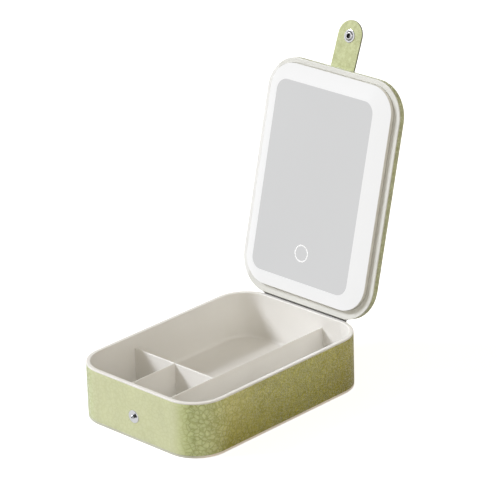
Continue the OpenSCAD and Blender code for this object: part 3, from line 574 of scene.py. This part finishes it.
# ---------------------------------------------------------------- leather round the box, with turned edges
TURN, LID_TURN = 0.5, 0.4                        # rounds of the turned leather edges
band = ring("leather_band", BOX_W, BOX_L, BOX_R,
            [(-LEATHER, FRAME_Z + 0.1)] + arc(-TURN, FRAME_Z + TURN, TURN, -90, 0, 5)
            + [(0, 8), (0, 45)] + arc(-TURN, RIM_Z - TURN, TURN, 0, 90, 5) + [(-LEATHER, RIM_Z - 0.1)], "box")
clean_up(band)
dress(band, green_leather, "green_leather", "base_leather")

# ---------------------------------------------------------------- leather over the lid
top_profile = (
    [(-LEATHER, LEATHER_Z + 0.1)] + arc(-LID_TURN, LEATHER_Z + LID_TURN, LID_TURN, -90, 0, 4)
    + [(0, LEATHER_Z + 2.0)] + arc(-LID_EDGE, LID_TOP - LID_EDGE, LID_EDGE, 0, 90, 10)
    + [(-6, LID_TOP), (-14, LID_TOP)]
)


def hinge_stations(w, l, r):
    """Stations of an outline, split where the hinge's channel ends on the rear corners.

    The last value is 1 inside the channel."""
    split = math.degrees(math.acos((CHANNEL_HALF - (LID_W / 2 - LID_R)) / LID_R))
    out = []
    for k, (sx, sy) in enumerate(((1, 1), (-1, 1), (-1, -1), (1, -1))):
        turns = [90 * i / CORNER_STEPS for i in range(CORNER_STEPS + 1)]
        if k == 0:
            turns = [(a, int(a > split)) for a in turns] + [(split, 0), (split, 1)]
            turns.sort()
        elif k == 1:
            turns = [(a, int(a < 90 - split)) for a in turns] + [(90 - split, 1), (90 - split, 0)]
            turns.sort(key=lambda t: (t[0], -t[1]))
        else:
            turns = [(a, 0) for a in turns]
        for turn, inside in turns:
            a = math.radians(90 * k + turn)
            out.append((sx * (w / 2 - r), sy * (l / 2 - r), math.cos(a), math.sin(a), inside))
    return out


def lid_cover():
    """Outer skin of the lid: a turned lower edge, which stops at the hinge's channel, and the padded top."""
    st = hinge_stations(LID_W, BOX_L, LID_R)
    n = len(st)
    verts, faces = [], []
    for d, z in top_profile:
        for cx, cy, ux, uy, inside in st:
            verts.append((cx + (LID_R + d) * ux, cy + (LID_R + d) * uy, max(z, CHANNEL_TOP) if inside else z))
    for k in range(len(top_profile) - 1):
        faces += bridge(k * n, (k + 1) * n, n)
    faces.append(tuple(range((len(top_profile) - 1) * n, len(top_profile) * n)))
    m = len(verts)
    for cx, cy, ux, uy, inside in st:              # inner side of the skin
        verts.append((cx + (LID_R - LEATHER) * ux, cy + (LID_R - LEATHER) * uy, LID_TOP - 2.0))
    faces += bridge(m, 0, n)
    faces.append(tuple(reversed(range(m, m + n))))
    ob = mesh_piece("lid_cover", verts, faces, "lid", lid=True)
    clean_up(ob)
    return ob


dress(lid_cover(), green_leather, "green_leather", "lid_leather")


# ---------------------------------------------------------------- inner frame with its lip over the leather
def inner_frame():
    """Frame between the lid's leather and the light panel; in the hinge's channel it is only a thin skin."""
    outer = hinge_stations(LID_W, BOX_L, LID_R)
    inner = hinge_stations(PANEL_W, PANEL_L, PANEL_R)
    lip = 0.45

    def out_loop(d, z, y_in, z_in):
        """y_in and z_in are the limits inside the channel."""
        pts = []
        for cx, cy, ux, uy, inside in outer:
            x, y = cx + (LID_R + d) * ux, cy + (LID_R + d) * uy
            pts.append((x, min(y, y_in), min(z, z_in)) if inside else (x, y, z))
        return pts

    def in_loop(d, z):
        return [(cx + (PANEL_R + d) * ux, cy + (PANEL_R + d) * uy + PANEL_Y, z)
                for cx, cy, ux, uy, _ in inner]

    skin, back_z, rear = LID_Z + BEZEL_SKIN, LID_Z + BEZEL_T, BOX_L / 2 - 0.3
    loops = [out_loop(-SHELL_IN, back_z, CHANNEL_Y, FREE), out_loop(-SHELL_IN, LEATHER_Z, CHANNEL_Y, skin),
             out_loop(0, LEATHER_Z, rear, skin)]
    loops += [out_loop(d, z, rear + d, FREE) for d, z in
              [(0, LID_Z + lip)] + arc(-lip, LID_Z + lip, lip, 0, -90, 5)[1:]]
    loops += [out_loop(-1.2, LID_Z, rear - 1.2, FREE), in_loop(FIT + BEZEL_ROUND + 0.8, LID_Z)]
    loops += [in_loop(d, z) for d, z in
              arc(FIT + BEZEL_ROUND, LID_Z + BEZEL_ROUND, BEZEL_ROUND, -90, -180, 4)]
    loops += [in_loop(FIT, back_z)]
    ob = loft("inner_frame", loops, "lid", lid=True)
    clean_up(ob)
    return ob


dress(inner_frame(), bezel_white, "bezel_plastic", "lid_bezel")


# ---------------------------------------------------------------- frosted light band
def band_profile():
    """The lip on the panel's rim, the hollowed slope down to the mirror and the ledge behind the glass."""
    seat, ledge, wall, parts = MIRROR_Z + GLASS_T + TAPE_T, 3, 1.6, 24
    steps = [i / parts for i in range(1, parts)]
    slope = [(-BAND_W * t, BAND_Z - BAND_RISE * t - 4 * BAND_BULGE * t * (1 - t)) for t in steps]
    rim = [(-wall, BAND_Z + 0.8), (0, BAND_Z + 0.8), (0, BAND_Z + 0.35)]
    rim += arc(-0.3, BAND_Z + 0.25, 0.3, 0, -70, 4)[1:]
    foot = [(-BAND_W + 0.25, MIRROR_Z + 0.02), (-BAND_W + 0.06, MIRROR_Z + 0.06), (-BAND_W, MIRROR_Z + 0.25)]
    back = [(-BAND_W, seat), (-BAND_W - ledge, seat), (-BAND_W - ledge, seat + wall),
            (-BAND_W + wall, seat + wall)]
    return rim + slope + foot + back


light_band = ring("light_band", PANEL_W, PANEL_L, PANEL_R, band_profile(), "lid", lid=True, y0=PANEL_Y)
clean_up(light_band)
dress(light_band, frosted, "frosted_plastic", "diffuser")

# ---------------------------------------------------------------- strap
# One strip that bends at the lid's edge
ROOT_Y, ROW_STEP, ROOT_ROWS, FLAT_ROWS = -106.5, 0.5, 20, 12
ROOT_SINK, ROOT_END = 0.5, -110.0                # how deep the root lies in the leather, and where it ends
LEAN_START = -109.5                              # where the backward lean starts
FADE = 3.0                                       # the length over which sink and lean set in


def ease(t):
    t = min(1.0, max(0.0, t))
    return t * t * (3 - 2 * t)


def strap():
    half = STRAP_W / 2                           # also the radius of the round tip
    yc = STRAP_TIP + half
    rows = [ROOT_Y - ROW_STEP * i for i in range(ROOT_ROWS)]
    rows += [rows[-1] - (rows[-1] - yc) * i / FLAT_ROWS for i in range(1, FLAT_ROWS + 1)]
    tip = [math.radians(a) for a in range(6, 90, 6)]

    def outline(inset):
        side = [(half - inset, y) for y in rows]
        side += [((half - inset) * math.cos(a), yc - (half - inset) * math.sin(a)) for a in tip]
        side.append((0.9 * (1 - inset / half), yc - (half - inset) * 0.9985))
        return side + [(-x, y) for x, y in reversed(side)]

    def placed(x, y, z):
        """A point of the flat strip, its root sunk into the lid's leather and the rest leaning back."""
        sunk = z - ROOT_SINK * ease((y - ROOT_END) / FADE)
        return lean(STRAP_LEAN * ease((LEAN_START - y) / FADE)) @ Vector((x, y, sunk))

    z0, z1 = LID_TOP - STRAP_T, LID_TOP
    layers = [(0.45, z0), (0.16, z0 + 0.1), (0.0, z0 + 0.38), (0.0, z1 - 0.42), (0.16, z1 - 0.12), (0.5, z1)]
    leather_side, lining_side, cut_edge = 0, 1, 2
    verts, faces, mats = [], [], []
    n = len(outline(0))
    for inset, z in layers:
        verts += [placed(x, y, z) for x, y in outline(inset)]
    for k in range(len(layers) - 1):
        faces += bridge(k * n, (k + 1) * n, n)
        mats += [cut_edge if 1 <= k <= 3 else (lining_side if k == 0 else leather_side)] * n
    top = (len(layers) - 1) * n
    for i in range(n // 2 - 1):
        faces.append((i, i + 1, n - 2 - i, n - 1 - i))
        mats.append(lining_side)
        faces.append((top + i, top + n - 1 - i, top + n - 2 - i, top + i + 1))
        mats.append(leather_side)
    ob = mesh_piece("strap_strip", verts, faces, None, lid=True)
    for i, f in enumerate(ob.data.polygons):
        f.material_index = mats[i]
    for mat in (green_leather, lining, strap_edge_shade):
        ob.data.materials.append(mat)
    clean_up(ob)
    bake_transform(ob)
    return ob


s = strap()
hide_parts("strap_outer", "strap_lining")


# ---------------------------------------------------------------- snap: turned pieces
def snap_piece(name, profile, place, body, node, lid=False, dark=()):
    ob = lathe(name, profile, place, body, lid=lid, dark=dark)
    clean_up(ob)
    dress(ob, chrome, "chrome", node)
    if dark:
        ob.data.materials.append(snap_painted_shade)


at_stud = Matrix.Translation((0, -BOX_L / 2, STUD_Z)) @ Matrix.Rotation(math.radians(90), 4, "X")
# Painted shade on the stud's neck, the lower side of its head, and its dimple.
snap_piece("stud_turned",
           [(5.7, 0.0), (5.95, 0.12), (6.0, 0.3), (5.85, 0.5), (5.5, 0.6), (4.7, 0.57), (4.0, 0.36),
            (2.4, 0.34), (1.7, 0.5), (1.5, 0.9), (1.5, 1.3), (1.72, 1.65), (1.8, 1.95), (1.75, 2.25),
            (1.55, 2.45), (1.2, 2.52), (0.95, 2.46), (0.85, 2.3), (0.8, 1.6)],
           at_stud, "box", "snap_stud", dark=(8, 9, 10, 11, 17, -1))

on_strap = lean(STRAP_LEAN)
at_socket = (on_strap @ Matrix.Translation((0, SNAP_Y, LID_TOP - STRAP_T))
             @ Matrix.Rotation(math.radians(180), 4, "X"))
# Painted shade in the socket's groove and its bore.
snap_piece("socket_turned",
           [(5.7, 0.0), (5.95, 0.08), (6.0, 0.25), (5.95, 0.5), (5.7, 0.66), (5.3, 0.7), (4.4, 0.62),
            (3.75, 0.68), (3.5, 0.9), (3.42, 1.3), (3.36, 1.66), (3.15, 1.85), (2.85, 1.9), (2.5, 1.88),
            (2.28, 1.72), (2.2, 1.4), (2.2, 0.08)],
           at_socket, "strap", "snap_socket", lid=True, dark=(6, 15, -1))

at_cap = on_strap @ Matrix.Translation((0, SNAP_Y, LID_TOP))
snap_piece("cap_turned",
           [(5.6, 0.0), (5.9, 0.06), (6.0, 0.25), (5.9, 0.5), (5.5, 0.72), (4.8, 0.88), (3.8, 0.99),
            (2.6, 1.06), (1.2, 1.1), (0.3, 1.1)],
           at_cap, "strap", "snap_cap", lid=True)

# ---------------------------------------------------------------- floor
FLOOR_HALF = 6                                   # metres
corners = [(-FLOOR_HALF, -FLOOR_HALF, 0), (FLOOR_HALF, -FLOOR_HALF, 0), (FLOOR_HALF, FLOOR_HALF, 0),
           (-FLOOR_HALF, FLOOR_HALF, 0)]
floor_me = bpy.data.meshes.new("studio_floor")
floor_me.from_pydata(corners, [], [(0, 1, 2, 3)])
floor = bpy.data.objects.new("studio_floor", floor_me)
bpy.context.scene.collection.objects.link(floor)


def switch(nt, fac, first, second, out):
    """Shows the second shader where fac is 1, and the first elsewhere."""
    node = nt.nodes.new("ShaderNodeMixShader")
    for i, value in enumerate((fac, first, second)):
        nt.links.new(value, node.inputs[i])
    nt.links.new(node.outputs[0], nt.nodes[out].inputs["Surface"])


# White to the camera and in reflections, with the object's shadow on it
paper, nt, p = new_mat("floor_paper")
p.inputs["Base Color"].default_value = (0.56, 0.55, 0.53, 1)
p.inputs["Roughness"].default_value = 0.9
p.inputs["Specular IOR Level"].default_value = 0.0
rays = nt.nodes.new("ShaderNodeLightPath").outputs
mirrored = math_node(nt, "MAXIMUM", rays["Is Glossy Ray"], rays["Is Transmission Ray"])
glow(p, 0.0)
nt.links.new(math_node(nt, "MULTIPLY", rays["Is Camera Ray"], 0.79), p.inputs["Emission Strength"])
white = nt.nodes.new("ShaderNodeEmission")
switch(nt, mirrored, p.outputs[0], white.outputs[0], "Material Output")
floor_me.materials.append(paper)

# ---------------------------------------------------------------- world
# White to the camera, and in gloss and mirrors dimmer upwards
world = bpy.data.worlds.new("studio")
bpy.context.scene.world = world
world.use_nodes = True
nt = world.node_tree
room = nt.nodes["Background"]
room.inputs["Color"].default_value = (1.0, 0.91, 0.75, 1)
room.inputs["Strength"].default_value = 0.41
rays = nt.nodes.new("ShaderNodeLightPath").outputs
seen = math_node(nt, "MAXIMUM", rays["Is Camera Ray"], rays["Is Glossy Ray"])
seen = math_node(nt, "MAXIMUM", seen, rays["Is Transmission Ray"])
split = nt.nodes.new("ShaderNodeSeparateXYZ")
nt.links.new(nt.nodes.new("ShaderNodeTexCoord").outputs["Generated"], split.inputs[0])
sky = ramp(nt, split.outputs["Z"], [(0.30, grey(1)), (0.70, grey(0.42))])
shown = nt.nodes.new("ShaderNodeBackground")
nt.links.new(blend_colors(nt, "MIX", rays["Is Camera Ray"], sky, (1, 1, 1)), shown.inputs["Color"])
switch(nt, seen, room.outputs[0], shown.outputs[0], "World Output")


# ---------------------------------------------------------------- lamps
def lamp(name, energy, azimuth, elevation, spread, color):
    light = bpy.data.lights.new(name, "SUN")
    light.energy, light.angle, light.color = energy, math.radians(spread), color
    ob = bpy.data.objects.new(name, light)
    bpy.context.scene.collection.objects.link(ob)
    a, e = math.radians(azimuth), math.radians(elevation)
    to_light = Vector((math.cos(a) * math.cos(e), math.sin(a) * math.cos(e), math.sin(e)))
    ob.rotation_euler = to_light.to_track_quat("Z", "Y").to_euler()


lamp("key", 2.9, 220, 36, 18, (0.95, 0.985, 1.07))
lamp("fill", 0.7, 342, 32, 50, (1.0, 0.97, 0.9))

# ---------------------------------------------------------------- camera, fitted to the photograph
AZIMUTH, ELEVATION, ROLL = 44.2056, 22.6012, -1.6543         # degrees
SHIFT_X, SHIFT_Y, DISTANCE = 24.5099, 132.7458, 2711.1456    # from the origin, along the camera's axes
FOCAL, PICTURE = 3029.0332, 500                  # focal length and width of the picture, in pixels
SENSOR = 36

az, el, roll = math.radians(AZIMUTH), math.radians(ELEVATION), math.radians(ROLL)
back = Vector((math.sin(az) * math.cos(el), -math.cos(az) * math.cos(el), math.sin(el)))
level_x = Vector((math.cos(az), math.sin(az), 0))
level_y = back.cross(level_x)
cam_x = math.cos(roll) * level_x + math.sin(roll) * level_y
cam_y = -math.sin(roll) * level_x + math.cos(roll) * level_y
camera = bpy.data.cameras.new("camera")
camera.sensor_width = SENSOR
camera.lens = FOCAL / PICTURE * SENSOR
camera.clip_start, camera.clip_end = 0.05, 50
camera_ob = bpy.data.objects.new("camera", camera)
bpy.context.scene.collection.objects.link(camera_ob)
where = (SHIFT_X * cam_x + SHIFT_Y * cam_y + DISTANCE * back) * 0.001
camera_ob.matrix_world = Matrix.Translation(where) @ Matrix((cam_x, cam_y, back)).transposed().to_4x4()
bpy.context.scene.camera = camera_ob

bpy.context.scene.view_settings.view_transform = "Standard"
